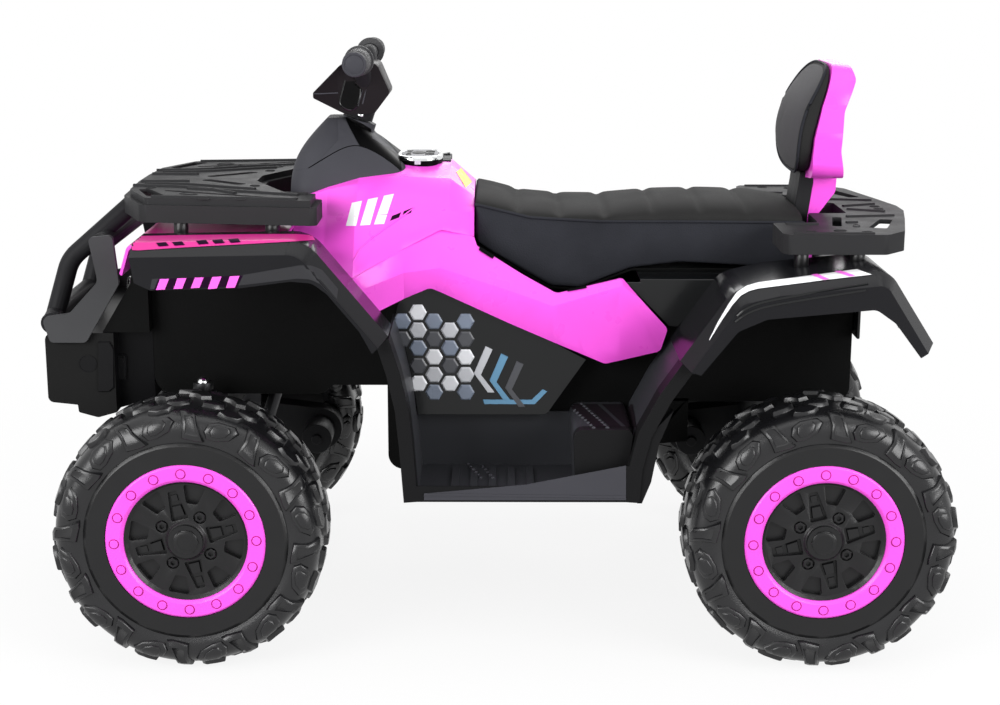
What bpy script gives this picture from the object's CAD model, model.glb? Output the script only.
import math

import bmesh
import bpy
from mathutils import Matrix, Vector
from mathutils.bvhtree import BVHTree


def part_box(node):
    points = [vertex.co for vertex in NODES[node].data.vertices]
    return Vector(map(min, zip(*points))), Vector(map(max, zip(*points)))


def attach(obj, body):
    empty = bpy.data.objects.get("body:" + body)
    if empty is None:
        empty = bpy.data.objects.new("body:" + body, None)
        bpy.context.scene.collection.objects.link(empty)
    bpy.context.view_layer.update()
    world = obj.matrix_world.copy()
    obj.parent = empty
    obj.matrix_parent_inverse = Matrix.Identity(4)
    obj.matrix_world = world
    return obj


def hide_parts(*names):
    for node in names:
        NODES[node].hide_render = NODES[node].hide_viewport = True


CAMERA_PLACE = (0.0125, -2.3384, 0.8779)
CAMERA_PITCH = 13.19
CAMERA_YAW = 0.11
CAMERA_ROLL = 0.126
FOCAL_PIXELS = 1730.74
IMAGE_WIDTH = 1000.0
IMAGE_HEIGHT = 705.0

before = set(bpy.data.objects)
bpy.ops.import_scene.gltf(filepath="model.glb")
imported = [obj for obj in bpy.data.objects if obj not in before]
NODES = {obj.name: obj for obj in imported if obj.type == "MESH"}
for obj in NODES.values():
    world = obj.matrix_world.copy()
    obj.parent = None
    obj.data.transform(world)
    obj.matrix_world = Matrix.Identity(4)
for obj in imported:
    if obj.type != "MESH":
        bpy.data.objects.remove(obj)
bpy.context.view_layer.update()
OUTWARD = Vector((0.0, -1.0, 0.0))
UPWARD = Vector((0.0, 0.0, 1.0))


# Places taken from the frame
def middle(node):
    low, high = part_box(node)
    return (low + high) / 2.0


FRONT_X = middle("front_left_rim").x
REAR_X = middle("rear_left_rim").x
HUB_Z = middle("front_left_tyre").z
WHEEL_FACE = -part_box("front_left_tyre")[0].y
WHEEL_BACK = -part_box("front_left_tyre")[1].y


# Material helpers
def new_material(name):
    material = bpy.data.materials.new(name)
    material.use_nodes = True
    return material, material.node_tree, material.node_tree.nodes["Principled BSDF"]


def fill(tree, node, sockets):
    for key, value in sockets.items():
        if isinstance(value, bpy.types.NodeSocket):
            tree.links.new(value, node.inputs[key])
        else:
            node.inputs[key].default_value = value


def add_node(tree, kind, sockets, **settings):
    node = tree.nodes.new("ShaderNode" + kind)
    for key, value in settings.items():
        setattr(node, key, value)
    fill(tree, node, sockets)
    return node


def coordinates(tree, source="Object"):
    place = tree.nodes.get("Place") or add_node(tree, "TexCoord", {}, name="Place")
    return place.outputs[source]


def noise(tree, scale, detail, vector=None):
    sockets = {"Vector": vector or coordinates(tree), "Scale": scale, "Detail": detail}
    return add_node(tree, "TexNoise", sockets).outputs["Fac"]


def spread(tree, source, low, high):
    return add_node(tree, "MapRange", {
        "Value": source, "From Min": 0.3, "From Max": 0.7, "To Min": low, "To Max": high,
    }).outputs["Result"]


def blend_colours(tree, factor, first, second):
    sockets = {"Factor": factor, "A": first, "B": second}
    return add_node(tree, "Mix", sockets, data_type="RGBA").outputs["Result"]


def bump(tree, height, depth, strength, **under):
    sockets = {"Strength": strength, "Distance": depth, "Height": height, **under}
    return add_node(tree, "Bump", sockets).outputs["Normal"]


def shade(colour, amount):
    return (*(min(1.0, channel * amount) for channel in colour), 1.0)


# A colour that varies a little over the surface
def mottled(tree, source, colour, low, high):
    factor = spread(tree, source, 0.0, 1.0)
    return blend_colours(tree, factor, shade(colour, low), shade(colour, high))


# Moulded plastic: faint mottling in the colour, uneven gloss and a moulding grain
def plastic(name, colour, roughness, grain_scale, grain_depth, coat=0.0, specular=0.5):
    material, tree, shader = new_material(name)
    smear = noise(tree, 35.0, 3.0)
    fill(tree, shader, {
        "Base Color": mottled(tree, noise(tree, 9.0, 4.0), colour, 0.94, 1.06),
        "Roughness": spread(tree, smear, roughness * 0.88, roughness * 1.12),
        "Normal": bump(tree, noise(tree, grain_scale, 2.0), grain_depth, 0.5),
        "Coat Weight": coat, "Coat Roughness": 0.06, "Specular IOR Level": specular,
    })
    return material


# Printed marks: a thin even ink
def ink(name, colour, roughness=0.3, specular=0.5):
    return plastic(name, colour, roughness, 500.0, 0.00008, specular=specular)


PINK = (0.90, 0.095, 0.72)
PINK_PLASTIC = plastic("pink_plastic", PINK, 0.3, 160.0, 0.0001, specular=0.3)
SATIN_BLACK = plastic("satin_black_plastic", (0.019, 0.019, 0.0205), 0.5, 1400.0, 0.0002, specular=0.06)
GLOSS_BLACK = plastic("gloss_black_plastic", (0.006, 0.0065, 0.007), 0.16, 120.0, 0.0001, specular=0.3)
MATT_BLACK = plastic("matt_black_plastic", (0.0035, 0.0036, 0.0036), 0.5, 900.0, 0.0003, specular=0.05)
RUBBER = plastic("tyre_rubber", (0.007, 0.007, 0.008), 0.28, 800.0, 0.0003, specular=0.45)
RIM_BLACK = plastic("rim_black_plastic", (0.007, 0.007, 0.0075), 0.32, 1100.0, 0.0002, specular=0.3)
GREY_CASE = plastic("grey_case_plastic", (0.009, 0.009, 0.010), 0.5, 700.0, 0.0003, specular=0.15)
GRIP_RUBBER = plastic("grip_rubber", (0.025, 0.025, 0.027), 0.55, 900.0, 0.0004)
RED_PLASTIC = plastic("red_plastic", (0.55, 0.015, 0.02), 0.25, 150.0, 0.0001, coat=0.4)
DEEP_PINK = plastic("deep_pink_plastic", (0.36, 0.012, 0.17), 0.45, 160.0, 0.0001, specular=0.1)
WHITE_PRINT = ink("white_print", (0.86, 0.87, 0.88), 0.35)
PINK_PRINT = ink("pink_print", (0.90, 0.12, 0.72), 0.35)
RACK_BLACK = plastic("rack_black_plastic", (0.030, 0.030, 0.0315), 0.4, 1200.0, 0.0002, specular=0.012)
SLATE_BLACK = plastic("slate_black_plastic", (0.050, 0.050, 0.058), 0.5, 1400.0, 0.0002, specular=0.05)
CHARCOAL = plastic("charcoal_plastic", (0.034, 0.034, 0.037), 0.5, 1400.0, 0.0002, specular=0.05)
COVER_BLACK = plastic("cover_black_plastic", (0.012, 0.0098, 0.0112), 0.3, 900.0, 0.0001, specular=0.02)
INK_BLACK = plastic("ink_black_plastic", (0.002, 0.002, 0.0022), 0.4, 500.0, 0.0001, specular=0.03)
PAD_PLUM = plastic("step_pad_plastic", (0.010, 0.0075, 0.0095), 0.4, 700.0, 0.0002, specular=0.03)
LEG_BLACK = plastic("leg_black_plastic", (0.0085, 0.0085, 0.009), 0.45, 1200.0, 0.0002, specular=0.06)
DARK_PLUM = ink("dark_plum_print", (0.014, 0.004, 0.016), 0.5, specular=0.02)
SILVER_PRINT = ink("silver_print", (0.46, 0.47, 0.50), 0.3)
DIAL_GREY = ink("dial_grey_print", (0.42, 0.42, 0.44), 0.5, specular=0.02)
PALE_SILVER = ink("pale_silver_print", (0.68, 0.69, 0.72), 0.3)
STEEL_BLUE = ink("steel_blue_print", (0.16, 0.19, 0.25), 0.3)
SKY_BLUE = ink("sky_blue_print", (0.10, 0.24, 0.38), 0.3)
DARK_GREY = ink("dark_grey_print", (0.05, 0.052, 0.06), 0.3)
YELLOW_PRINT = ink("yellow_print", (0.90, 0.62, 0.03), 0.4)
LAMP_LENS = plastic("lamp_lens", (0.012, 0.012, 0.014), 0.08, 200.0, 0.0001, coat=0.6)


# Two finishes on one moulding, parted along one axis of the place or of the face's direction
def two_finish(
    name, inner, outer, limit, inner_gloss, outer_gloss, grain_scale, source="Object", axis="Y",
):
    material, tree, shader = new_material(name)
    mottle = noise(tree, 9.0, 4.0)
    parts = add_node(tree, "SeparateXYZ", {"Vector": coordinates(tree, source)})
    operation = "ABSOLUTE" if axis == "Y" else "ADD"
    reach = add_node(tree, "Math", {0: parts.outputs[axis], 1: 0.0}, operation=operation)
    outside = add_node(tree, "Math", {0: reach.outputs["Value"], 1: limit}, operation="GREATER_THAN")
    share = outside.outputs["Value"]
    tints = [mottled(tree, mottle, colour, 0.94, 1.06) for colour in (inner, outer)]
    fill(tree, shader, {
        "Base Color": blend_colours(tree, share, *tints),
        "Normal": bump(tree, noise(tree, grain_scale, 2.0), 0.0001, 0.4),
        "Roughness": outer_gloss[0], "Specular IOR Level": outer_gloss[1],
    })
    for socket, near, far in zip(("Roughness", "Specular IOR Level"), inner_gloss, outer_gloss):
        if near != far:
            amount = add_node(tree, "MapRange", {"Value": share, "To Min": near, "To Max": far})
            fill(tree, shader, {socket: amount.outputs["Result"]})
    return material


FENDER_BLACK = two_finish(
    "fender_black_plastic", (0.009, 0.009, 0.0105), (0.0125, 0.0125, 0.0140), 0.3212,
    (0.2, 0.16), (0.5, 0.05), 900.0,
)
BAR_BLACK = two_finish(
    "bull_bar_plastic", (0.019, 0.019, 0.0205), (0.054, 0.0545, 0.057), 0.1552,
    (0.5, 0.06), (0.5, 0.06), 1400.0,
)
FOOTWELL_BLACK = two_finish(
    "footwell_plastic", (0.030, 0.031, 0.035), (0.0085, 0.0085, 0.009), 0.268,
    (0.35, 0.12), (0.45, 0.06), 1200.0,
)
COWL_PINK = two_finish(
    "cowl_pink_plastic", PINK, (0.62, 0.016, 0.25), 0.80,
    (0.3, 0.3), (0.3, 0.3), 160.0, source="Normal", axis="Z",
)
BUMPER_BLACK = two_finish(
    "bumper_plastic", (0.005, 0.005, 0.0055), (0.0105, 0.0105, 0.0105), 0.1535,
    (0.3, 0.06), (0.5, 0.05), 1200.0,
)


# Metal: brushed lines along one axis and uneven gloss
def metal(name, colour, roughness, stretch):
    material, tree, shader = new_material(name)
    mapping = add_node(tree, "Mapping", {"Vector": coordinates(tree), "Scale": stretch})
    brushing = noise(tree, 60.0, 5.0, mapping.outputs["Vector"])
    fill(tree, shader, {
        "Metallic": 1.0, "Base Color": mottled(tree, brushing, colour, 0.85, 1.1),
        "Roughness": spread(tree, brushing, roughness * 0.8, roughness * 1.3),
        "Normal": bump(tree, brushing, 0.0001, 0.3),
    })
    return material


CHROME = metal("chrome", (0.78, 0.79, 0.80), 0.1, (1.0, 1.0, 1.0))
STEEL = metal("brushed_steel", (0.50, 0.50, 0.52), 0.32, (1.0, 12.0, 1.0))
DARK_STEEL = metal("blackened_steel", (0.035, 0.035, 0.037), 0.45, (1.0, 12.0, 1.0))


# Grained black vinyl: small cells with fine pores
def vinyl(name, colour, roughness, cell_scale, cell_depth):
    material, tree, shader = new_material(name)
    sockets = {"Vector": coordinates(tree), "Scale": cell_scale}
    cells = add_node(tree, "TexVoronoi", sockets, feature="DISTANCE_TO_EDGE")
    pores = bump(tree, noise(tree, cell_scale * 2.5, 3.0), cell_depth * 0.4, 0.4)
    mottle = noise(tree, 14.0, 4.0)
    fill(tree, shader, {
        "Base Color": mottled(tree, mottle, colour, 0.85, 1.15),
        "Roughness": spread(tree, mottle, roughness * 0.9, roughness * 1.1),
        "Normal": bump(tree, cells.outputs["Distance"], cell_depth, 0.6, Normal=pores),
        "Specular IOR Level": 0.015,
    })
    return material


SEAT_TOP_VINYL = vinyl("seat_top_vinyl", (0.022, 0.022, 0.022), 0.6, 420.0, 0.0004)
PAD_VINYL = vinyl("pad_vinyl", (0.072, 0.071, 0.075), 0.55, 420.0, 0.0004)
SEAT_SIDE_VINYL = vinyl("seat_side_vinyl", (0.024, 0.025, 0.030), 0.5, 300.0, 0.0008)

# Finish and edge radius of each CAD node
LOOKS = (
    (MATT_BLACK, 0.0015, "chassis_tub front_fascia"), (MATT_BLACK, 0.001, "seat_pan"),
    (GREY_CASE, 0.001, "battery accelerator_pedal front_axle_beam rear_axle_carrier"),
    (FOOTWELL_BLACK, 0.0015, "left_footwell right_footwell"),
    (FENDER_BLACK, 0.0015, "left_front_fender right_front_fender left_rear_fender right_rear_fender"),
    (COWL_PINK, 0.0015, "front_cowl"), (LAMP_LENS, 0.001, "headlamps"),
    (PINK_PLASTIC, 0.0015, "tank_cover left_side_panel right_side_panel"),
    (PINK_PLASTIC, 0.002, "backrest_shell"),
    (GLOSS_BLACK, 0.0015, "left_engine_cover right_engine_cover rear_body"),
    (BUMPER_BLACK, 0.0015, "lower_bumper"), (BAR_BLACK, 0.0015, "bull_bar"),
    (RACK_BLACK, 0.003, "front_rack rear_rack"), (RIM_BLACK, 0.001, "rack_posts"),
    (SLATE_BLACK, 0.0015, "dash_tower dash_cover"), (SATIN_BLACK, 0.001, "instrument_panel"),
    (RED_PLASTIC, 0.0007, "power_button horn_button"), (SATIN_BLACK, 0.0005, "direction_rocker"),
    (SATIN_BLACK, 0.0008, "handlebar"), (GRIP_RUBBER, 0.001, "left_grip right_grip"),
    (COVER_BLACK, 0.0015, "handlebar_cover"), (STEEL, 0.0005, "rear_axle"),
    (DARK_STEEL, 0.0005, "steering_column tie_rod left_knuckle right_knuckle"),
    (SEAT_SIDE_VINYL, 0.002, "seat_cushion backrest_pad"),
)
WHEEL_LOOKS = (
    (RUBBER, 0.001, "tyre"), (RIM_BLACK, 0.0008, "rim"), (PINK_PLASTIC, 0.0006, "ring"),
    (GREY_CASE, 0.001, "gearbox"),
)
WHEEL_ENDS = ("front_left", "front_right", "rear_left", "rear_right")
WELD_GAP = 0.00002
FLAT_ANGLE = 1.0
EDGE_ANGLE = 28.0


def rounded_edges(piece, width, angle):
    soften = piece.modifiers.new("soften", "BEVEL")
    soften.width = width
    soften.segments = 2
    soften.limit_method = "ANGLE"
    soften.angle_limit = math.radians(angle)
    soften.harden_normals = True


def dress_node(node, material, edge):
    piece = NODES[node]
    piece.data.materials.clear()
    piece.data.materials.append(material)
    weld = piece.modifiers.new("weld", "WELD")
    weld.merge_threshold = WELD_GAP
    flat = piece.modifiers.new("flat", "DECIMATE")
    flat.decimate_type = "DISSOLVE"
    flat.angle_limit = math.radians(FLAT_ANGLE)
    rounded_edges(piece, edge, EDGE_ANGLE)


for material, edge, names in LOOKS:
    for node in names.split():
        dress_node(node, material, edge)
for material, edge, name in WHEEL_LOOKS:
    for wheel in WHEEL_ENDS:
        dress_node(f"{wheel}_{name}", material, edge)


# Piece helpers
def at(x, y, z):
    return Vector((x, y, z)) * 0.001


def mesh_of(name, build):
    shape = bmesh.new()
    build(shape)
    bmesh.ops.recalc_face_normals(shape, faces=shape.faces[:])
    mesh = bpy.data.meshes.new(name)
    shape.to_mesh(mesh)
    shape.free()
    return mesh


def place(name, mesh, body, slot, *materials, crease=35.0):
    if not mesh.materials:
        for material in materials:
            mesh.materials.append(material)
        mesh.shade_smooth()
        mesh.set_sharp_from_angle(angle=math.radians(crease))
    piece = bpy.data.objects.new(name, mesh)
    bpy.context.scene.collection.objects.link(piece)
    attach(piece, body)
    return piece


def other_side(mesh):
    copy = mesh.copy()
    copy.name = mesh.name + "_right"
    shape = bmesh.new()
    shape.from_mesh(copy)
    bmesh.ops.scale(shape, vec=(1.0, -1.0, 1.0), verts=shape.verts)
    bmesh.ops.reverse_faces(shape, faces=shape.faces[:])
    shape.to_mesh(copy)
    shape.free()
    return copy


def place_pair(name, mesh, body, slot, *materials, crease=35.0):
    place("left_" + name, mesh, body, slot, *materials, crease=crease)
    place("right_" + name, other_side(mesh), body.replace("left", "right"), slot)


def add(name, build, slot, *materials, body="chassis", crease=35.0):
    return place(name, mesh_of(name, build), body, slot, *materials, crease=crease)


def add_pair(name, build, slot, *materials, body="chassis", crease=35.0):
    place_pair(name, mesh_of(name, build), body, slot, *materials, crease=crease)


def skin(shape, rings, closed=True, caps=True):
    loops = [[shape.verts.new(point) for point in ring] for ring in rings]
    count = len(loops[0])
    for first, second in zip(loops, loops[1:]):
        for index in range(count if closed else count - 1):
            onward = (index + 1) % count
            shape.faces.new((first[index], first[onward], second[onward], second[index]))
    if caps:
        for loop in (loops[0], loops[-1]):
            centre = sum((vert.co for vert in loop), Vector()) / count
            hub = shape.verts.new(centre)
            for index in range(count):
                shape.faces.new((loop[index], loop[(index + 1) % count], hub))
    return loops


def cut_corners(points, rounds):
    for _ in range(rounds):
        finer = [points[0]]
        for first, second in zip(points, points[1:]):
            finer.append(tuple(a * 0.75 + b * 0.25 for a, b in zip(first, second)))
            finer.append(tuple(a * 0.25 + b * 0.75 for a, b in zip(first, second)))
        points = finer + [points[-1]]
    return points


def along(points, share):
    lengths = [math.dist(a, b) for a, b in zip(points, points[1:])]
    target = share * sum(lengths)
    for start, end, length in zip(points, points[1:], lengths):
        if target <= length:
            part = target / length if length else 0.0
            return tuple(a + (b - a) * part for a, b in zip(start, end))
        target -= length
    return tuple(points[-1])


def table(pairs, value):
    if value <= pairs[0][0]:
        return pairs[0][1]
    for (low, first), (high, second) in zip(pairs, pairs[1:]):
        if value <= high:
            return first + (second - first) * (value - low) / (high - low)
    return pairs[-1][1]


def circle(centre, axis, radius, sides):
    lift = Vector((0.0, 0.0, 1.0)) if abs(axis.z) < 0.9 else Vector((1.0, 0.0, 0.0))
    across = axis.cross(lift).normalized()
    upward = across.cross(axis)
    turns = [2.0 * math.pi * step / sides for step in range(sides)]
    return [centre + (across * math.cos(turn) + upward * math.sin(turn)) * radius for turn in turns]


def neighbours(points, index):
    return points[max(index - 1, 0)], points[min(index + 1, len(points) - 1)]


def swept(shape, points, radius, sides=10, caps=True):
    rings = []
    for index, point in enumerate(points):
        before, after = neighbours(points, index)
        rings.append(circle(point, (after - before).normalized(), radius, sides))
    skin(shape, rings, caps=caps)


def lathe(shape, centre, axis, profile, sides=32):
    skin(shape, [circle(centre + axis * height, axis, radius, sides) for radius, height in profile])


def plate(shape, corners, low, high, draft=0.0):
    centre = sum(corners, Vector()) / len(corners)
    count = len(corners)
    base = [shape.verts.new(corner + low) for corner in corners]
    top = [shape.verts.new(corner + (centre - corner) * draft + high) for corner in corners]
    shape.faces.new(top)
    shape.faces.new(base[::-1])
    for index in range(count):
        onward = (index + 1) % count
        shape.faces.new((base[index], base[onward], top[onward], top[index]))


# Points of a surface as the camera sees them
def camera_turn():
    turn = Matrix.Rotation(math.radians(-CAMERA_YAW), 3, "Z")
    turn = turn @ Matrix.Rotation(math.radians(90.0 - CAMERA_PITCH), 3, "X")
    return turn @ Matrix.Rotation(math.radians(CAMERA_ROLL), 3, "Z")


def camera_ray(pixel):
    across = (pixel[0] - IMAGE_WIDTH / 2.0) / FOCAL_PIXELS
    down = (pixel[1] - IMAGE_HEIGHT / 2.0) / FOCAL_PIXELS
    return camera_turn() @ Vector((across, -down, -1.0))


def between(start, end, share):
    return start[0] + (end[0] - start[0]) * share, start[1] + (end[1] - start[1]) * share


def surface_of(*nodes):
    corners = []
    faces = []
    for node in nodes:
        mesh = NODES[node].data
        first = len(corners)
        corners += [vert.co.copy() for vert in mesh.vertices]
        faces += [[first + index for index in face.vertices] for face in mesh.polygons]
    return BVHTree.FromPolygons(corners, faces)


def seen(surface, pixel):
    return surface.ray_cast(Vector(CAMERA_PLACE), camera_ray(pixel).normalized())[:2]


def ribbon(shape, surface, upper, lower, steps, rows, lift):
    verts = []
    for step in range(steps + 1):
        top = along(upper, step / steps)
        foot = along(lower, step / steps)
        spots = [seen(surface, between(top, foot, row / rows)) for row in range(rows + 1)]
        verts.append([shape.verts.new(point + normal * lift) if point else None for point, normal in spots])
    for first, second in zip(verts, verts[1:]):
        for row in range(rows):
            corners = (first[row], first[row + 1], second[row + 1], second[row])
            if all(corners):
                shape.faces.new(corners)


def seam_line(shape, surface, pixels, width, lift):
    points = []
    for pixel in pixels:
        point, normal = seen(surface, pixel)
        if point:
            points.append(point + normal * lift)
    swept(shape, points, width, sides=6)


# Tyre: smooth carcass with stepped shoulder blocks and angular crown blocks
TYRE_PROFILE = cut_corners([
    (6.0, 120.0), (5.0, 125.0), (2.4, 131.0), (1.4, 138.0), (1.8, 145.0), (4.6, 152.0), (10.0, 158.0),
    (18.0, 162.2), (30.0, 164.2), (62.0, 164.6),
], 2)
CROWN_LENGTH = sum(math.dist(a, b) for a, b in zip(TYRE_PROFILE, TYRE_PROFILE[1:]))
LUG_COUNT = 12
LUG_PITCH = 30.0
LUG_START = -11.0
LUG_RADIUS = 150.0
TYRE_SIDES = 144
OUTER_STEPS = 40
INNER_STEPS = 16
WALL = 5.0


def tyre_point(turn, reach, height):
    mirrored = reach > CROWN_LENGTH
    share = min(1.0, (2.0 * CROWN_LENGTH - reach if mirrored else reach) / CROWN_LENGTH)
    inward, radius = along(TYRE_PROFILE, share)
    before = along(TYRE_PROFILE, max(0.0, share - 0.02))
    after = along(TYRE_PROFILE, min(1.0, share + 0.02))
    length = math.dist(before, after)
    inward -= (after[1] - before[1]) / length * height
    radius += (after[0] - before[0]) / length * height
    side = WHEEL_BACK * 1000.0 + inward if mirrored else WHEEL_FACE * 1000.0 - inward
    angle = math.radians(turn)
    return at(radius * math.sin(angle), -side, radius * math.cos(angle))


def add_lug(shape, turn, corners, tiers, flip=False):
    middle_u = sum(corner[0] for corner in corners) / len(corners)
    middle_t = sum(corner[1] for corner in corners) / len(corners)
    rings = []
    for scale, height in tiers:
        ring = []
        for u, t in corners:
            reach = middle_t + (t - middle_t) * scale
            reach = 2.0 * CROWN_LENGTH - reach if flip else reach
            degrees = math.degrees((middle_u + (u - middle_u) * scale) / LUG_RADIUS)
            ring.append(tyre_point(turn + degrees, reach, height))
        rings.append(ring)
    shape.faces.new(skin(shape, rings, caps=False)[-1])


HEX_LUG = ((-20, 24), (-16, 33), (-6, 38), (14, 39), (20, 33), (13, 22), (-3, 16), (-15, 16))
HOOK_LUG = ((-12, 46), (-2, 47), (5, 42), (10, 28), (20, 12), (12, 11), (-9, 14), (-8, 30))
EDGE_LUG = ((-13, 50), (-4, 46), (9, 48), (14, 56), (7, 63), (-10, 60))
CROWN_LUG = ((-11, 67), (2, 66), (11, 73), (12, 86), (2, 92), (-5, 82), (-12, 80))
STEPPED = ((1.14, -1.5), (1.0, 2.6), (0.93, 3.2), (0.64, 3.3), (0.58, 5.0), (0.50, 5.5))
HOLLOWED = ((1.16, -1.5), (1.0, 3.8), (0.92, 4.6), (0.62, 4.6), (0.56, 3.0))
PLAIN = ((1.16, -1.5), (1.0, 4.4), (0.90, 5.2))


def build_tyre(shape):
    outside = [(2.0 * CROWN_LENGTH * step / OUTER_STEPS, 0.0) for step in range(OUTER_STEPS + 1)]
    inside = [(2.0 * CROWN_LENGTH * step / INNER_STEPS, -WALL) for step in range(INNER_STEPS, -1, -1)]
    turns = [360.0 * index / TYRE_SIDES for index in range(TYRE_SIDES)]
    rings = [[tyre_point(turn, *spot) for turn in turns] for spot in outside + inside]
    skin(shape, rings + rings[:1], caps=False)
    bmesh.ops.remove_doubles(shape, verts=shape.verts[:], dist=0.00001)
    for index in range(LUG_COUNT):
        turn = LUG_START + LUG_PITCH * index
        for flip, offset in ((False, 0.0), (True, LUG_PITCH / 4.0)):
            add_lug(shape, turn + offset, HEX_LUG, STEPPED, flip)
            add_lug(shape, turn + offset + 15.0, HOOK_LUG, HOLLOWED, flip)
            add_lug(shape, turn + offset + 1.5, EDGE_LUG, PLAIN, flip)
            for half in (8.0, 23.0):
                add_lug(shape, turn + offset + half, CROWN_LUG, PLAIN, flip)


# Wheel fasteners: lug nuts in their recesses, wedges in the spoke slots, grooves round the ring's bolts
def wheel_spot(turn, radius, side):
    angle = math.radians(turn)
    return at(radius * math.sin(angle), -side, radius * math.cos(angle))


NUT_FACE = 15.0
NUT_PROFILE = ((6.8, 0.0), (6.8, 5.6), (5.9, 6.4), (3.4, 6.4), (3.2, 3.0))
WEDGES = (
    (((-14.0, 31.0), (-7.5, 46.0), (7.5, 46.0), (14.0, 31.0)), 0.0045, 0.16),
    (((-5.0, 50.0), (-4.2, 59.0), (4.2, 59.0), (5.0, 50.0)), 0.0025, 0.12),
)
RING_BOLTS = 16
GROOVE_PROFILE = ((4.7, -0.3), (4.8, 0.5), (5.5, 0.7), (6.4, 0.5), (6.6, -0.3))


def build_nuts(shape):
    side = WHEEL_FACE * 1000.0 - NUT_FACE
    for index in range(4):
        centre = wheel_spot(31.0 + 90.0 * index, 34.0, side)
        rings = []
        for radius, height in NUT_PROFILE:
            foot = centre + OUTWARD * height * 0.001
            rings.append([foot + wheel_spot(60.0 * step, radius, 0.0) for step in range(6)])
        skin(shape, rings)
        turn = -14.0 + 90.0 * index
        for spots, height, draft in WEDGES:
            corners = [wheel_spot(turn + degrees, radius, side - 1.0) for degrees, radius in spots]
            plate(shape, corners, Vector(), OUTWARD * height, draft=draft)


def build_grooves(shape):
    side = WHEEL_FACE * 1000.0 - 1.5
    for index in range(RING_BOLTS):
        centre = wheel_spot(-1.5 + 22.5 * index, 87.0, side)
        rings = []
        for radius, height in GROOVE_PROFILE:
            rings.append([centre + wheel_spot(15.0 * step, radius, height) for step in range(24)])
        skin(shape, rings, caps=False)


def build_hub(shape):
    face = WHEEL_FACE * 1000.0
    for sides, profile in (
        (48, ((26.5, -14.0), (26.0, -9.5), (24.6, -8.2), (22.4, -8.2), (21.6, -9.5))),
        (12, ((15.5, -6.0), (15.5, -1.6), (13.6, -0.4), (9.5, -0.4), (9.2, -1.4))),
    ):
        rings = []
        for radius, height in profile:
            rings.append([wheel_spot(360.0 * step / sides, radius, face + height) for step in range(sides)])
        skin(shape, rings, caps=sides == 12)


WHEELS = (
    ("front_left", FRONT_X, False), ("rear_left", REAR_X, False),
    ("front_right", FRONT_X, True), ("rear_right", REAR_X, True),
)
tyre_mesh = mesh_of("lugged_tyre", build_tyre)
nut_mesh = mesh_of("wheel_nuts", build_nuts)
groove_mesh = mesh_of("ring_grooves", build_grooves)
hub_mesh = mesh_of("hub_nut", build_hub)
for wheel, hub_x, right in WHEELS:
    body = wheel + "_wheel"
    for label, mesh, slot, material in (
        ("lugged_tyre", tyre_mesh, "tyre", RUBBER), ("wheel_nuts", nut_mesh, "rim_black", RIM_BLACK),
        ("ring_grooves", groove_mesh, "pink_body", DEEP_PINK), ("hub_nut", hub_mesh, "rim_black", RIM_BLACK),
    ):
        piece = place(wheel + "_" + label, mesh, body, slot, material, crease=40.0)
        piece.location = (hub_x, 0.0, HUB_Z)
        if right:
            piece.rotation_euler = (0.0, 0.0, math.pi)
        if label == "lugged_tyre":
            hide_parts(wheel + "_tyre")


# Padding: a pressed-out skin held at its seams
CLOTH_FRAMES = 20


def swell(piece, held, pressure, limit):
    start = [vert.co.copy() for vert in piece.data.vertices]
    pins = piece.vertex_groups.new(name="seams")
    pins.add(held, 1.0, "REPLACE")
    cloth = piece.modifiers.new("padding", "CLOTH")
    cloth.settings.quality = 6
    cloth.settings.mass = 0.3
    cloth.settings.tension_stiffness = 15.0
    cloth.settings.compression_stiffness = 15.0
    cloth.settings.bending_stiffness = 4.0
    cloth.settings.use_pressure = True
    cloth.settings.uniform_pressure_force = pressure
    cloth.settings.vertex_group_mass = "seams"
    cloth.settings.effector_weights.gravity = 0.0
    cloth.collision_settings.use_collision = False
    cloth.point_cache.frame_start = 1
    cloth.point_cache.frame_end = CLOTH_FRAMES
    for step in range(1, CLOTH_FRAMES + 1):
        bpy.context.scene.frame_set(step)
    settled = piece.evaluated_get(bpy.context.evaluated_depsgraph_get()).data
    moved = [vert.co.copy() for vert in settled.vertices]
    piece.modifiers.remove(cloth)
    bpy.context.scene.frame_set(1)
    for vert, first, last in zip(piece.data.vertices, start, moved):
        shift = last - first
        vert.co = first + shift * min(1.0, limit / max(shift.length, 1e-9))


def subdivide(piece, levels):
    finer = piece.modifiers.new("finer", "SUBSURF")
    finer.levels = levels
    finer.render_levels = levels


# Seat: crowned cushion with sewn rolls across it and grained sides under a piped edge
SEAT_FRONT = -16.5
SEAT_REAR = 411.5
SEAT_CHANNELS = (40.0, 94.0, 153.0, 217.0, 278.0, 338.0)
SEAT_TOPS = (
    (-18, 564), (4, 560), (45, 549), (99, 544), (153, 545), (221, 553), (289, 555), (357, 553), (412, 543),
)
SEAT_SEAMS = ((-15, 553), (56, 536), (146, 531), (276, 531), (405, 530))
SEAT_FEET = ((-19, 508), (4, 492), (83, 446), (121, 444), (186, 470), (251, 478), (323, 474), (412, 470))
SEAM_HALF = 114.0
FOOT_HALF = 118.0
SIDE_BULGE = 5.0
CHANNEL_WIDTH = 4.5
CHANNEL_DEPTH = 4.5
SIDE_POINTS = 14
TOP_POINTS = 48
FOOT_POINTS = 24


def channel_dip(x):
    return sum(math.exp(-((x - line) / CHANNEL_WIDTH) ** 2) for line in SEAT_CHANNELS)


def seat_side(x, side, share, foot, seam):
    reach = FOOT_HALF + (SEAM_HALF - FOOT_HALF) * share + SIDE_BULGE * math.sin(math.pi * share)
    return at(x, side * reach, foot + (seam - foot) * share)


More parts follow.
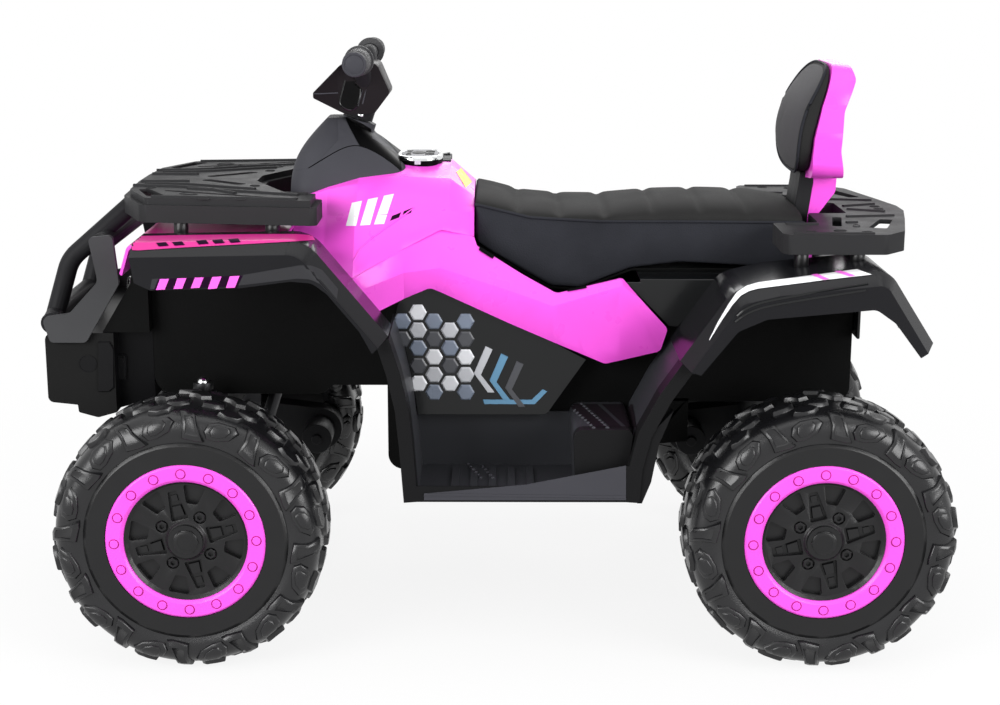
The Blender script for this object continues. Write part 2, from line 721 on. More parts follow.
def seat_ring(x):
    top = table(SEAT_TOPS, x)
    seam = table(SEAT_SEAMS, x)
    foot = table(SEAT_FEET, x) + 1.0
    dip = channel_dip(x)
    points = []
    for step in range(SIDE_POINTS):
        points.append(seat_side(x, 1.0, step / SIDE_POINTS, foot, seam))
    for step in range(TOP_POINTS):
        turn = math.pi * step / TOP_POINTS
        across = math.copysign(abs(math.cos(turn)) ** 0.8, math.cos(turn))
        rise = math.sin(turn) ** 0.7
        level = seam + (top - seam) * rise - CHANNEL_DEPTH * dip * min(1.0, rise * 1.4)
        points.append(at(x, SEAM_HALF * across, level))
    for step in range(SIDE_POINTS):
        points.append(seat_side(x, -1.0, 1.0 - step / SIDE_POINTS, foot, seam))
    for step in range(FOOT_POINTS):
        points.append(at(x, -FOOT_HALF + 2.0 * FOOT_HALF * step / FOOT_POINTS, foot))
    return points


SEAT_STATIONS = [SEAT_FRONT + (SEAT_REAR - SEAT_FRONT) * step / 92 for step in range(93)]
RING_POINTS = 2 * SIDE_POINTS + TOP_POINTS + FOOT_POINTS
seat_mesh = mesh_of("seat_cushion", lambda shape: skin(shape, [seat_ring(x) for x in SEAT_STATIONS]))
seat = place("padded_seat", seat_mesh, "chassis", "seat_vinyl", SEAT_TOP_VINYL, SEAT_SIDE_VINYL, crease=60.0)
for face in seat_mesh.polygons:
    spot = face.center * 1000.0
    face.material_index = 0 if spot.z > table(SEAT_SEAMS, spot.x) - 0.5 else 1
seat_pins = []
for index in range(len(SEAT_STATIONS) * RING_POINTS):
    station, spot = divmod(index, RING_POINTS)
    on_channel = min(abs(SEAT_STATIONS[station] - line) for line in SEAT_CHANNELS) < 2.6
    on_top = SIDE_POINTS < spot < SIDE_POINTS + TOP_POINTS
    on_seam = spot in (SIDE_POINTS, SIDE_POINTS + TOP_POINTS)
    on_foot = spot == 0 or spot >= 2 * SIDE_POINTS + TOP_POINTS
    at_end = station in (0, len(SEAT_STATIONS) - 1)
    if on_seam or on_foot or at_end or (on_top and on_channel):
        seat_pins.append(index)
seat_pins += [len(SEAT_STATIONS) * RING_POINTS, len(SEAT_STATIONS) * RING_POINTS + 1]
swell(seat, seat_pins, 4.0, 0.005)
subdivide(seat, 1)
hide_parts("seat_cushion")


def build_seat_piping(shape):
    for side in (-1.0, 1.0):
        line = [at(x, side * (SEAM_HALF + 0.8), table(SEAT_SEAMS, x) + 0.4) for x in SEAT_STATIONS]
        swept(shape, line, 0.0019, sides=8)


add("seat_piping", build_seat_piping, "seat_vinyl", SEAT_SIDE_VINYL, crease=60.0)


# Backrest pad: crowned front over a side band, edged with piping
PAD_MIDDLE = 657.5
PAD_HEIGHT = 71.5
PAD_HALF = 93.0
PAD_SIDES = cut_corners(
    [(586, -4), (592, -7), (606, -9), (637, -9), (670, -3), (692, 8), (714, 21), (730, 32)], 2,
)
PAD_BACKS = ((586, 10.5), (612, 9), (637, 10), (679, 19), (712, 29), (734, 36))
PAD_FRONTS = cut_corners(
    [(586, -3), (592, -7), (599, -13), (612, -18), (635, -20), (659, -17), (685, -5.5), (708, 11),
     (730, 32)], 2,
)
PAD_TURNS = 72
PAD_POWER = 0.625
BAND_RINGS = 10
CROWN_RINGS = 19


def pad_edge(turn):
    across = math.cos(turn)
    upward = math.sin(turn)
    return (
        PAD_HALF * math.copysign(abs(across) ** PAD_POWER, across),
        PAD_HEIGHT * math.copysign(abs(upward) ** PAD_POWER, upward),
    )


def pad_ring(scale, depth):
    ring = []
    for step in range(PAD_TURNS):
        across, upward = pad_edge(2.0 * math.pi * step / PAD_TURNS)
        z = PAD_MIDDLE + upward * scale
        end = PAD_BACKS if depth < 0.0 else PAD_FRONTS
        x = table(PAD_SIDES, z) + (table(end, z) - table(PAD_SIDES, z)) * abs(depth)
        ring.append(at(REAR_X * 1000.0 + x, across * scale, z))
    return ring


def build_pad(shape):
    rings = [pad_ring(scale, -0.97) for scale in (0.06, 0.3, 0.55, 0.78, 0.93)]
    rings.append(pad_ring(0.99, -0.95))
    rings += [pad_ring(1.0, depth) for depth in (-0.8, -0.55, -0.3, 0.0)]
    for step in range(1, CROWN_RINGS):
        scale = 1.0 - step / CROWN_RINGS
        rings.append(pad_ring(scale, 1.0 - scale ** 3.0))
    skin(shape, rings)


pad_mesh = mesh_of("backrest_pad", build_pad)
pad = place("padded_backrest", pad_mesh, "chassis", "seat_vinyl", PAD_VINYL, SEAT_TOP_VINYL, crease=60.0)
for face in pad_mesh.polygons:
    face.material_index = 1 if face.index < BAND_RINGS * PAD_TURNS else 0
swell(pad, list(range(BAND_RINGS * PAD_TURNS)), 4.0, 0.004)
subdivide(pad, 1)
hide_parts("backrest_pad")


def build_pad_piping(shape):
    ring = pad_ring(1.0, 0.0)
    swept(shape, ring + ring[:2], 0.0018, sides=8, caps=False)


add("backrest_piping", build_pad_piping, "seat_vinyl", SEAT_SIDE_VINYL, crease=60.0)

STEM_COVER = ((-3, 476), (13, 476), (16, 526), (22, 572), (22, 587), (4, 587), (2, 568), (-4, 526))


def build_stem_cover(shape):
    corners = [at(REAR_X * 1000.0 + x, -37.5, z) for x, z in STEM_COVER]
    plate(shape, corners, Vector(), at(0.0, 75.0, 0.0))


stem_cover = add("stem_cover", build_stem_cover, "black_plastic", SATIN_BLACK)
rounded_edges(stem_cover, 0.002, 30.0)


# Builders of thin marks: strips, four-cornered marks and seams on a surface, plates on a flat side
def strip_on(surface, upper, lower, steps, rows, lift):
    return lambda shape: ribbon(shape, surface, upper, lower, steps, rows, lift)


def quads_on(surface, quads, lift, steps=8, rows=8):
    def build(shape):
        for first, second, third, fourth in quads:
            ribbon(shape, surface, (first, second), (fourth, third), steps, rows, lift)
    return build


def seams_on(surface, seams, rounds, width, lift):
    def build(shape):
        for seam in seams:
            seam_line(shape, surface, cut_corners(list(seam), rounds), width, lift)
    return build


def plates_on(*plates):
    def build(shape):
        for pixels, side, height, draft in plates:
            side_plate(shape, pixels, side, height, draft)
    return build


# Fender prints: slanted hash on the front fender, tapering stripe with two bars on the rear fender
HASH_STRIPES = (
    ((160.1, 278.9), (169.1, 278.7), (164, 291.5), (155.3, 292)),
    ((177.4, 278.2), (186.5, 278), (181.5, 290.6), (172.8, 291.1)),
    ((195, 277.5), (203.8, 277.3), (198.7, 289.7), (190, 290.2)),
    ((212.3, 276.9), (221.7, 276.4), (216.9, 288.3), (207.9, 289)),
    ((229.9, 276.2), (239.6, 275.7), (235, 287.4), (226, 287.9)),
)
HASH_GROUND = ((158.5, 278.6), (243, 275.3), (153, 292.4), (237, 288.2))
STRIPE_UPPER = (
    (709.5, 340), (718, 322.5), (729, 304), (737, 292.5), (747, 286), (758, 282.8), (811, 275.8),
    (857, 269.6),
)
STRIPE_LOWER = (
    (710, 340.5), (722, 321), (733, 305), (741, 296), (749, 291.5), (758, 289), (828, 280),
    (872, 275),
)
STRIPE_BARS = (
    ((811.4, 275.5), (817.2, 274.9), (829.7, 279.8), (823.2, 280.5)),
    ((834.4, 272.3), (840.8, 271.7), (855.8, 276.4), (849.4, 277.2)),
)
front_fender = surface_of("left_front_fender")
rear_fender = surface_of("left_rear_fender")

add_pair(
    "hash_ground", strip_on(front_fender, HASH_GROUND[:2], HASH_GROUND[2:], 20, 6, 0.0005),
    "gloss_black", DARK_PLUM,
)
add_pair("fender_hash", quads_on(front_fender, HASH_STRIPES, 0.0008, 6, 6), "pink_body", PINK_PRINT)
add_pair(
    "fender_stripe", strip_on(rear_fender, STRIPE_UPPER, STRIPE_LOWER, 160, 8, 0.0007),
    "pink_body", WHITE_PRINT,
)
add_pair("stripe_bars", quads_on(rear_fender, STRIPE_BARS, 0.0014, 8, 24), "pink_body", PINK_PRINT)


# Points on a flat side face and small raised details
def on_side(pixel, side):
    ray = camera_ray(pixel)
    start = Vector(CAMERA_PLACE)
    return start + ray * ((-side * 0.001 - start.y) / ray.y)


RIB_PROFILE = ((-1.0, -0.2), (-0.72, 0.7), (-0.4, 1.0), (0.4, 1.0), (0.72, 0.7), (1.0, -0.2))
OVAL_STEPS = 40


def side_plate(shape, pixels, side, height, draft):
    corners = [on_side(pixel, side) for pixel in pixels]
    plate(shape, corners, Vector(), OUTWARD * height * 0.001, draft)


def rib(shape, corners, level, width, height):
    points = cut_corners(corners, 2)
    rings = []
    for index, point in enumerate(points):
        before, after = neighbours(points, index)
        heading = Vector((after[0] - before[0], after[1] - before[1], 0.0)).normalized()
        across = Vector((-heading.y, heading.x, 0.0)) * width / 2.0
        spot = Vector((point[0], point[1], level))
        rings.append([(spot + across * side + UPWARD * rise * height) * 0.001 for side, rise in RIB_PROFILE])
    skin(shape, rings)


def oval(long, wide, turn, power):
    angle = math.radians(turn)
    points = []
    for step in range(OVAL_STEPS):
        spin = 2.0 * math.pi * step / OVAL_STEPS
        x = long * math.copysign(abs(math.cos(spin)) ** power, math.cos(spin))
        y = wide * math.copysign(abs(math.sin(spin)) ** power, math.sin(spin))
        points.append((
            x * math.cos(angle) - y * math.sin(angle), x * math.sin(angle) + y * math.cos(angle),
        ))
    return points


def oval_stack(shape, centre, long, wide, turn, profile, power=1.0):
    rings = []
    for scale, level in profile:
        edge = oval(long * scale, wide * scale, turn, power)
        rings.append([at(centre[0] + x, centre[1] + y, level) for x, y in edge])
    skin(shape, rings)


def dome(shape, centre, axis, radius, height):
    turns = [step * math.pi / 12.0 for step in range(6)]
    profile = [(radius * math.cos(turn), height * math.sin(turn)) for turn in turns]
    lathe(shape, centre, axis, [(radius, -0.0006)] + profile, sides=12)


# Racks: raised ribs and screw ovals
FRONT_RIBS = (
    ((-462, -40), (-430, -38), (-398, -36)),
    ((-464, -78), (-380, -94), (-320, -152)),
    ((-452, -62), (-392, -66), (-330, -100), (-300, -112)),
    ((-420, -184), (-364, -190), (-236, -205)),
    ((-388, -108), (-330, -128), (-238, -168)),
    ((-262, -152), (-228, -158)),
)
FRONT_OVALS = (
    (-379, -154, 11, 7, -20), (-304, -125, 11, 7, -20), (-352, -200, 6, 3, -7), (-306, -203, 6, 3, -7),
    (-242, -196, 6, 3, -7), (-305, -78, 6, 4, -20), (-437, -98, 7, 4, 60),
)
REAR_RIBS = (
    ((486, -14), (533, -35)), ((462, -132), (477, -129)), ((472, -81), (537, -70)),
    ((380, -220), (480, -220)), ((382, -146), (424, -144)),
)
REAR_OVALS = (
    (470, -158, 7, 4, 80), (529, -12, 6, 4, 0), (442, -196, 7, 4, 0), (404, -206, 6, 3, 0),
    (474, -206, 6, 3, 0),
)
OVAL_PROFILE = ((1.22, -0.3), (1.12, 1.0), (1.0, 1.1), (0.9, 0.35), (0.5, 0.3))


def rack_details(node, ribs, ovals, width, height):
    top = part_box(node)[1].z * 1000.0

    def build(shape):
        for corners in ribs:
            rib(shape, corners, top, width, height)
        profile = [(scale, top + rise) for scale, rise in OVAL_PROFILE]
        for x, y, long, wide, turn in ovals:
            oval_stack(shape, (x, y), long, wide, turn, profile)
    return build


add_pair(
    "front_rack_ribs", rack_details("front_rack", FRONT_RIBS, FRONT_OVALS, 7.0, 2.6),
    "black_plastic", RACK_BLACK,
)
add_pair(
    "rear_rack_ribs", rack_details("rear_rack", REAR_RIBS, REAR_OVALS, 6.0, 2.2),
    "black_plastic", RACK_BLACK,
)

# Nose: collars on the bull bar, raised strip and embossed disc on the bumper, domed kingpin nuts
COLLAR_PLACES = ((-495.0, 506.0), (-562.5, 403.5))
COLLAR_PROFILE = (
    (0.0122, 0.0), (0.0138, 0.0), (0.0138, 0.004), (0.0128, 0.005), (0.0128, 0.009), (0.0138, 0.010),
    (0.0138, 0.0155), (0.0122, 0.0155),
)
BUMPER_FACE = 155.0
BUMPER_STRIP = ((98.5, 341), (110, 341), (114, 348), (114, 388), (109, 392), (98.5, 392))
DISC_PLACE = (88.0, 363.5)
DISC_PROFILE = ((0.0118, -0.0005), (0.0118, 0.0007), (0.0108, 0.0007), (0.0106, 0.0002))
BRACKET = ((116, 354), (125, 354), (127, 357), (127, 379), (118, 379), (116, 375))
BRACKET_PAD = ((118, 357), (124, 357), (124, 365), (118, 365))


def build_collars(shape):
    for x, z in COLLAR_PLACES:
        lathe(shape, at(x, -138.0, z), OUTWARD, COLLAR_PROFILE, sides=28)


def build_bumper_details(shape):
    side_plate(shape, BUMPER_STRIP, BUMPER_FACE, 3.0, 0.06)
    lathe(shape, on_side(DISC_PLACE, BUMPER_FACE), OUTWARD, DISC_PROFILE, sides=36)


def build_kingpin_dome(shape):
    dome(shape, at(FRONT_X * 1000.0, -168.0, 329.6), UPWARD, 0.0085, 0.007)


add_pair("bar_collars", build_collars, "black_plastic", SATIN_BLACK)
add_pair("bumper_details", build_bumper_details, "black_plastic", LEG_BLACK)
add_pair(
    "nose_bracket", plates_on((BRACKET, 130.0, 6.0, 0.06), (BRACKET_PAD, 136.0, 1.2, 0.06)),
    "black_plastic", LEG_BLACK,
)
add_pair("kingpin_dome", build_kingpin_dome, "steel", CHROME, body="left_knuckle")

# Handlebar: ribbed grips, capped ends, clamp screw and the cover's inlay
GRIP_X = middle("left_grip").x
GRIP_Z = middle("left_grip").z
GRIP_RIBS = 14
CAP_PROFILE = (
    (0.0140, 0.0), (0.0152, 0.001), (0.0152, 0.0048), (0.0142, 0.0058), (0.0126, 0.0060),
    (0.0120, 0.0052), (0.0112, 0.0052), (0.0104, 0.0058), (0.004, 0.0062),
)


def build_grip_ribs(shape):
    profile = [(0.0150, 0.0)]
    for step in range(GRIP_RIBS):
        start = 0.004 * step
        profile += [
            (0.0154, start + 0.0004), (0.0164, start + 0.0010), (0.0164, start + 0.0024),
            (0.0154, start + 0.0030),
        ]
    profile.append((0.0150, 0.0575))
    lathe(shape, Vector((GRIP_X, -0.1095, GRIP_Z)), OUTWARD, profile, sides=36)


def build_grip_caps(shape):
    lathe(shape, Vector((GRIP_X, -0.1755, GRIP_Z)), OUTWARD, CAP_PROFILE, sides=36)


add_pair("grip_ribs", build_grip_ribs, "grip_rubber", GRIP_RUBBER, body="steering")
add_pair("grip_caps", build_grip_caps, "grip_rubber", SLATE_BLACK, body="steering")

handlebar_cover = surface_of("handlebar_cover")
INLAY_LEFT = ((344.5, 81.5), (340.5, 99), (340, 104), (344, 107.5))
INLAY_RIGHT = ((361, 81), (358.5, 99), (357, 104), (351, 109.5))
INLAY_EDGE = (
    (345, 80.4), (340, 99.4), (339.5, 105), (347, 110), (353, 110), (358.6, 104.8), (362, 80),
)


def build_clamp_screw(shape):
    dome(shape, at(-169.8, -16.9, 659.0), OUTWARD, 0.0042, 0.0026)


add_pair(
    "cover_inlay", strip_on(handlebar_cover, INLAY_LEFT, INLAY_RIGHT, 14, 6, 0.0006),
    "gloss_black", INK_BLACK, body="steering",
)
add_pair(
    "cover_edge", seams_on(handlebar_cover, (INLAY_EDGE,), 2, 0.0011, 0.0004),
    "black_plastic", GLOSS_BLACK, body="steering",
)
add_pair("clamp_screw", build_clamp_screw, "steel", CHROME, body="steering")

# Dash tower: seam and black gaiter
tower_surface = surface_of("dash_tower", "dash_cover")
TOWER_SEAM = (
    (308.7, 168), (324.9, 158), (341, 148.7), (353.5, 145), (364.7, 146.9), (379.6, 154.3),
    (394.5, 164.9), (402.5, 172.5),
)
GAITER_UPPER = (
    (346.5, 116.5), (353, 119), (364, 124.5), (371, 129), (372, 138.5), (386, 147), (400.5, 155.5),
)
GAITER_LOWER = (
    (345.5, 119), (348, 124.5), (352.5, 133), (359.6, 146), (372, 150.5), (388, 160), (401.5, 171),
)
add_pair("tower_seam", seams_on(tower_surface, (TOWER_SEAM,), 3, 0.0007, 0.0), "black_plastic", INK_BLACK)
add_pair(
    "tower_gaiter", strip_on(tower_surface, GAITER_UPPER, GAITER_LOWER, 60, 14, 0.0006),
    "black_plastic", INK_BLACK,
)

# Oval gauge with a plain dial
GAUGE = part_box("instrument_panel")
GAUGE_X = GAUGE[1].x * 1000.0 - 41.0
GAUGE_TOP = GAUGE[1].z * 1000.0
GAUGE_LONG = 29.8
GAUGE_WIDE = 44.0
GAUGE_POWER = 0.75
SQUARE = ((-1, -1), (1, -1), (1, 1), (-1, 1))
BEZEL_PROFILE = (
    (0.99, -5.5), (1.03, -5.0), (1.035, -2.8), (1.02, -1.0), (0.985, 0.6), (0.95, 0.9), (0.93, 0.3),
)
CUP_PROFILE = ((0.99, -25.0), (1.0, -14.0), (1.02, -5.2), (0.98, -5.0))
DIAL_PROFILE = ((1.0, 0.0), (1.0, 0.8), (0.4, 0.9))
GROUND_PROFILE = ((1.0, -1.0), (1.0, 0.2), (0.9, 0.3))
BOSS_PROFILE = ((1.0, 0.7), (1.0, 1.5), (0.9, 1.7))
TAB_CORNERS = ((-4.0, -9.5), (4.0, -9.5), (4.0, -4.5), (-4.0, -4.5))
DIAL_BLOCKS = (
    (-15.0, -22.0, 3.6, 5.0), (-15.0, 0.0, 2.4, 12.0), (-15.0, 22.0, 3.6, 5.0), (13.0, -20.0, 6.0, 3.0),
    (13.0, -8.0, 6.0, 3.0), (13.0, 8.0, 6.0, 3.0), (13.0, 20.0, 6.0, 3.0),
)


def gauge_stack(shape, x, long, wide, profile, power):
    levels = [(scale, GAUGE_TOP + rise) for scale, rise in profile]
    oval_stack(shape, (x, 0.0), long, wide, 0.0, levels, power)


def gauge_part(long, wide, profile):
    return lambda shape: gauge_stack(shape, GAUGE_X, long, wide, profile, GAUGE_POWER)


def build_tab(shape):
    corners = [at(GAUGE_X - 2.0 + x, 0.2 - GAUGE_WIDE, GAUGE_TOP + z) for x, z in TAB_CORNERS]
    plate(shape, corners, Vector(), OUTWARD * 0.0016)


def build_dial_marks(shape):
    for x, y, long, wide in DIAL_BLOCKS:
        corners = [at(GAUGE_X + x + u * long, y + v * wide, GAUGE_TOP + 0.7) for u, v in SQUARE]
        plate(shape, corners, Vector(), UPWARD * 0.0008)
    gauge_stack(shape, GAUGE_X - 2.0, 9.0, 15.0, BOSS_PROFILE, 1.0)


GROUND_LONG = GAUGE_LONG * 0.94
GROUND_WIDE = GAUGE_WIDE * 0.94
add("gauge_bezel", gauge_part(GAUGE_LONG, GAUGE_WIDE, BEZEL_PROFILE), "steel", CHROME)
add("gauge_cup", gauge_part(GAUGE_LONG, GAUGE_WIDE, CUP_PROFILE), "gloss_black", INK_BLACK)
add("gauge_tab", build_tab, "steel", SILVER_PRINT)
add("gauge_dial", gauge_part(24.6, 37.0, DIAL_PROFILE), "lamp_lens", DIAL_GREY)
add("gauge_ground", gauge_part(GROUND_LONG, GROUND_WIDE, GROUND_PROFILE), "gloss_black", INK_BLACK)
add("gauge_marks", build_dial_marks, "gloss_black", INK_BLACK)


# Engine covers: a plain pattern of hexagonal tiles, bent bars and a long angled bar
ENGINE_FACE = 177.0
ENGINE_EDGE = (
    (-139, 428), (-75, 455), (42, 397), (119, 357), (85, 304), (74, 293), (-9, 290), (-87, 296), (-112, 336),
)


def inside(edge, x, z):
    crossings = False
    for (x1, z1), (x2, z2) in zip(edge, edge[1:] + edge[:1]):
        if (z1 > z) != (z2 > z) and x < (x2 - x1) * (z - z1) / (z2 - z1) + x1:
            crossings = not crossings
    return crossings


def tile(shape, corners, height, draft, index):
    first = len(shape.faces)
    edge = [at(x, -ENGINE_FACE, z) for x, z in corners]
    plate(shape, edge, OUTWARD * -0.0004, OUTWARD * height * 0.001, draft)
    shape.faces.ensure_lookup_table()
    for face in shape.faces[first:]:
        face.material_index = index


TILE_RADIUS = 13.5
TILE_START = (-68.0, 342.0)
TILE_END = -8.0
TILE_CLEAR = 1.35
TILE_ROWS = range(-7, 8)
TILE_COLUMNS = range(-9, 10)
BENT_BAR = ((0.0, 0.0), (9.0, -4.4), (-6.0, -38.0), (12.0, -62.0), (3.0, -62.0), (-15.0, -36.0))
BAR_COLOURS = (0, 4, 2, 4, 1)
LONG_BAR = ((-4, 303), (62, 303), (78, 320), (72, 323), (58, 309), (-6, 309))


def build_engine_tiles(shape):
    turns = [math.pi * step / 3.0 for step in range(6)]
    size = TILE_RADIUS * 0.9
    for row in TILE_ROWS:
        for column in TILE_COLUMNS:
            x = TILE_START[0] + column * TILE_RADIUS * 1.5
            z = TILE_START[1] + (row + (column % 2) * 0.5) * TILE_RADIUS * 1.732
            corners = [(x + size * math.cos(turn), z + size * math.sin(turn)) for turn in turns]
            reach = [(x + (cx - x) * TILE_CLEAR, z + (cz - z) * TILE_CLEAR) for cx, cz in corners]
            if x < TILE_END and all(inside(ENGINE_EDGE, *corner) for corner in reach):
                tile(shape, corners, 1.4, 0.22, (column * 2 + row * 3) % 4)
    for index, colour in enumerate(BAR_COLOURS):
        x = -2.0 + 20.0 * index
        z = 380.0 - 9.6 * index
        corners = [(x + dx, z + dz) for dx, dz in BENT_BAR]
        if all(inside(ENGINE_EDGE, *corner) for corner in corners):
            tile(shape, corners, 1.2, 0.03, colour)
    tile(shape, LONG_BAR, 1.0, 0.02, 4)


add_pair(
    "engine_tiles", build_engine_tiles, "engine_print",
    SILVER_PRINT, STEEL_BLUE, DARK_GREY, PALE_SILVER, SKY_BLUE, crease=20.0,
)

# Footwell: step pads, rear edge of the leg, beaded tread rows and a lighter sill wedge
footwell_surface = surface_of("left_footwell")
BEAD_ROWS = (
    ((566.9, 403.3), (593.6, 428.0), 11), ((581.5, 404.5), (607.5, 428.0), 11),
    ((457.9, 453.0), (480.9, 478.0), 10), ((470.5, 453.0), (493.0, 478.0), 10),
)
STEP_PADS = (
    ((567.5, 404.6), (580, 404.6), (606, 427.5), (594.5, 427.5)),
    ((584.5, 404.6), (597, 404.6), (622, 427.5), (610.5, 427.5)),
    ((601.5, 404.6), (633, 404.6), (637, 427.5), (626.5, 427.5)),
)
LEG_EDGE = (
    (636, 499.2), (640.8, 499.2), (650, 478), (658, 440), (672, 408), (650, 430), (640, 470),
)
SILL = ((424, 493.5), (526, 484.5), (626, 465.5), (626, 500), (424, 500))
SILL_LIP = ((424, 493.2), (626, 495.8), (626, 498.2), (424, 495.4))
TREAD_UPRIGHT = 0.7


def build_beads(shape):
    for start, end, count in BEAD_ROWS:
        for step in range(count):
            point, normal = seen(footwell_surface, between(start, end, step / (count - 1)))
            if point and normal.z > TREAD_UPRIGHT:
                dome(shape, point, normal, 0.0026, 0.0020)


add_pair("step_pads", quads_on(footwell_surface, STEP_PADS, 0.0009, 12, 12), "black_plastic", PAD_PLUM)
add_pair("leg_edge", plates_on((LEG_EDGE, 282.0, 17.0, 0.0)), "black_plastic", LEG_BLACK)
add_pair("tread_beads", build_beads, "black_plastic", SLATE_BLACK)
add_pair("sill_plate", plates_on((SILL, 302.0, 0.8, 0.0)), "black_plastic", SLATE_BLACK)
add_pair("sill_lip", plates_on((SILL_LIP, 302.8, 0.9, 0.0)), "black_plastic", SLATE_BLACK)

# Fenders: lighter lower lips and pressed grooves
FRONT_LIP_UPPER = (
    (152, 279), (160, 278.3), (240, 275.4), (300, 265.2), (312, 265.6), (322, 270), (338, 289),
)
FRONT_LIP_LOWER = (
    (149.5, 292.5), (160, 292.6), (232, 289.5), (296, 283), (310, 284), (320, 289), (336, 306),
)
REAR_GROOVES = (
    ((737, 316), (747, 307), (771, 299.5), (868, 284)),
    ((735, 322), (748, 312), (772, 304.5), (866, 290)),
)
add_pair(
    "front_fender_lip", strip_on(front_fender, FRONT_LIP_UPPER, FRONT_LIP_LOWER, 48, 4, 0.0003),
    "black_plastic", CHARCOAL,
)
add_pair(
    "rear_fender_grooves", seams_on(rear_fender, REAR_GROOVES, 4, 0.0015, 0.0004),
    "gloss_black", GLOSS_BLACK,
)

# Plain marks on the coloured panels: slanted white bars and dark dashes, and a blank yellow label
tank_surface = surface_of("tank_cover")
TANK_BARS = (
    ((352, 203), (362, 201), (356, 226), (346, 226)),
    ((368, 199.5), (378, 197.5), (370, 225), (360, 225.6)),
    ((384, 196), (394, 194), (384, 224), (374, 224.6)),
)
TANK_DASHES = (
    ((392, 216), (401, 212.5), (399, 217.5), (390, 221)),
    ((404, 211.3), (413, 207.8), (411, 212.8), (402, 216.3)),
)
DASH_PLACES = ((158.0, 0.0), (174.0, 0.8), (198.0, 2.0), (214.0, 2.8), (230.0, 3.6))
COWL_DASHES = tuple(
    ((x - 2.0, 243.6 - rise), (x + 8.0, 242.8 - rise), (x + 11.0, 246.4 - rise), (x + 1.0, 247.2 - rise))
    for x, rise in DASH_PLACES
)
WING_UPPER = ((127, 238.5), (134, 236.5), (180, 235.6), (250, 234.6), (296, 234.4), (312, 235.5))
WING_LOWER = ((130, 250.5), (138, 250.8), (180, 248), (250, 244.2), (296, 241.6), (315, 240.4))
TANK_CREASE = ((414, 208), (388, 226.5), (362, 245), (353, 262))
COVER_EDGES = (
    ((367.5, 72), (358, 106)), ((370.5, 72), (362.5, 104)), ((312.5, 94), (338, 93)),
)
LABEL = ((456, 172), (461, 168), (472, 182), (465.5, 188))
add_pair("tank_crease", seams_on(tank_surface, (TANK_CREASE,), 3, 0.0012, 0.0), "pink_body", PINK_PLASTIC)
add_pair(
    "cover_edges", seams_on(handlebar_cover, COVER_EDGES, 3, 0.0009, 0.0),
    "black_plastic", SLATE_BLACK, body="steering",
)
add_pair("tank_bars", quads_on(tank_surface, TANK_BARS, 0.0004), "pink_body", WHITE_PRINT)
add_pair("tank_dashes", quads_on(tank_surface, TANK_DASHES, 0.0004), "gloss_black", DARK_PLUM)
add_pair(
    "cowl_wing", strip_on(front_fender, WING_UPPER, WING_LOWER, 80, 16, 0.0006),
    "pink_body", COWL_PINK,
)
add_pair("cowl_dashes", quads_on(front_fender, COWL_DASHES, 0.0012), "gloss_black", DARK_PLUM)
add("tank_label", quads_on(tank_surface, (LABEL,), 0.0005), "pink_body", YELLOW_PRINT)

# Two seat clips on the upper edge of each coloured panel
panel_surface = surface_of("left_side_panel", "tank_cover")
SEAT_CLIPS = (
    ((479.5, 247.6), (494, 256.6), (492.5, 259.6), (478.5, 250.6)),
    ((566, 289.6), (586, 286), (587, 288.6), (568, 292.2)),
)
add_pair("seat_clips", quads_on(panel_surface, SEAT_CLIPS, 0.0016), "black_plastic", INK_BLACK)

# Rear wheelhouse flange behind each footwell leg
FLANGE = ((-221.0, 212.0), (-214.0, 240.0), (-150.0, 246.0), (-150.0, 304.0), (-174.0, 304.0))


def build_rear_flange(shape):
    corners = [at(REAR_X * 1000.0 + x, -146.0, z) for x, z in FLANGE]
    plate(shape, corners, Vector(), OUTWARD * 0.004)


add_pair("rear_flange", build_rear_flange, "black_plastic", MATT_BLACK)

# Stage, lights and camera
FLOOR_BOUNCE = (0.3, 0.3, 0.3, 1.0)
FLOOR_TINTS = ((0.89, 0.89, 0.89, 1.0), (0.91, 0.91, 0.91, 1.0))
WORLD_FILL = 0.3


def seen_directly(tree):
    path = add_node(tree, "LightPath", {})
    total = path.outputs["Is Camera Ray"]
    for output in ("Is Glossy Ray", "Is Transmission Ray"):
        larger = add_node(tree, "Math", {0: total, 1: path.outputs[output]}, operation="MAXIMUM")
        total = larger.outputs["Value"]
    return total


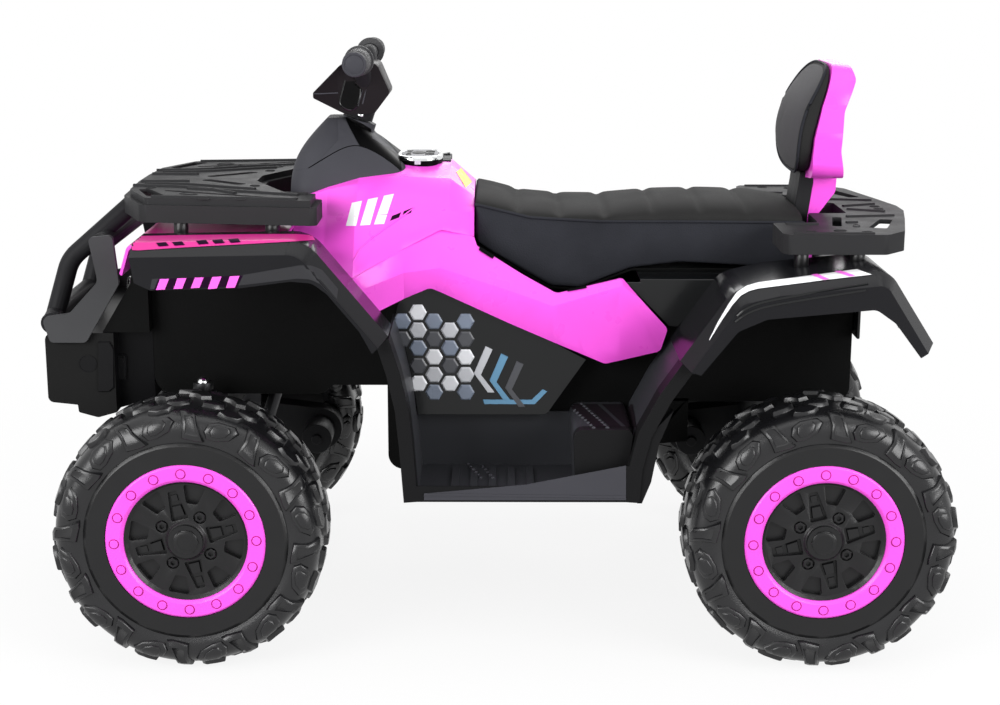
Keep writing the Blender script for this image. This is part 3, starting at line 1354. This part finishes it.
def make_stage():
    bpy.ops.mesh.primitive_plane_add(size=60.0, location=(0.0, 8.0, -0.0005))
    floor = bpy.context.object
    floor.name = "floor"
    material, tree, shader = new_material("floor_white")
    factor = spread(tree, noise(tree, 3.0, 3.0), 0.0, 1.0)
    fill(tree, shader, {"Base Color": blend_colours(tree, factor, *FLOOR_TINTS), "Roughness": 0.9})
    dim = add_node(tree, "BsdfDiffuse", {"Color": FLOOR_BOUNCE})
    glow = add_node(tree, "Emission", {})
    spot = add_node(tree, "NewGeometry", {})
    distance = add_node(tree, "VectorMath", {0: spot.outputs["Position"]}, operation="LENGTH")
    whiteness = add_node(tree, "MapRange", {
        "Value": distance.outputs["Value"], "From Min": 0.55, "From Max": 1.5, "To Min": 0.86, "To Max": 1.0,
    })
    pale = add_node(tree, "MixShader", {
        "Fac": whiteness.outputs["Result"], 1: shader.outputs["BSDF"], 2: glow.outputs["Emission"],
    })
    mix = add_node(tree, "MixShader", {
        "Fac": seen_directly(tree), 1: dim.outputs["BSDF"], 2: pale.outputs["Shader"],
    })
    fill(tree, tree.nodes["Material Output"], {"Surface": mix.outputs["Shader"]})
    floor.data.materials.append(material)


def make_world():
    world = bpy.data.worlds.new("studio")
    world.use_nodes = True
    tree = world.node_tree
    sockets = {"Value": seen_directly(tree), "To Min": WORLD_FILL, "To Max": 1.0}
    amount = add_node(tree, "MapRange", sockets).outputs["Result"]
    fill(tree, tree.nodes["Background"], {"Color": (1.0, 1.0, 1.0, 1.0), "Strength": amount})
    bpy.context.scene.world = world


def area_light(name, place, aim, size, power):
    data = bpy.data.lights.new(name, "AREA")
    data.shape = "RECTANGLE"
    data.size = size[0]
    data.size_y = size[1]
    data.energy = power
    lamp = bpy.data.objects.new(name, data)
    bpy.context.scene.collection.objects.link(lamp)
    lamp.location = place
    lamp.rotation_euler = (Vector(aim) - Vector(place)).to_track_quat("-Z", "Y").to_euler()


def make_camera():
    data = bpy.data.cameras.new("photo_camera")
    data.sensor_width = 36.0
    data.lens = FOCAL_PIXELS / IMAGE_WIDTH * data.sensor_width
    camera = bpy.data.objects.new("photo_camera", data)
    bpy.context.scene.collection.objects.link(camera)
    camera.location = CAMERA_PLACE
    camera.rotation_euler = camera_turn().to_euler()
    bpy.context.scene.camera = camera


make_stage()
make_world()
area_light("top_softbox", (0.0, -0.3, 2.6), (0.0, 0.0, 0.4), (3.2, 2.2), 22.0)
area_light("left_softbox", (-2.2, -2.4, 1.35), (-0.1, 0.0, 0.4), (2.0, 1.8), 100.0)
area_light("right_softbox", (2.4, -2.2, 1.25), (0.1, 0.0, 0.4), (2.0, 1.8), 96.0)
area_light("rear_softbox", (0.3, 2.6, 1.8), (0.0, 0.0, 0.4), (2.4, 1.4), 35.0)
make_camera()
bpy.context.scene.view_settings.view_transform = "Standard"
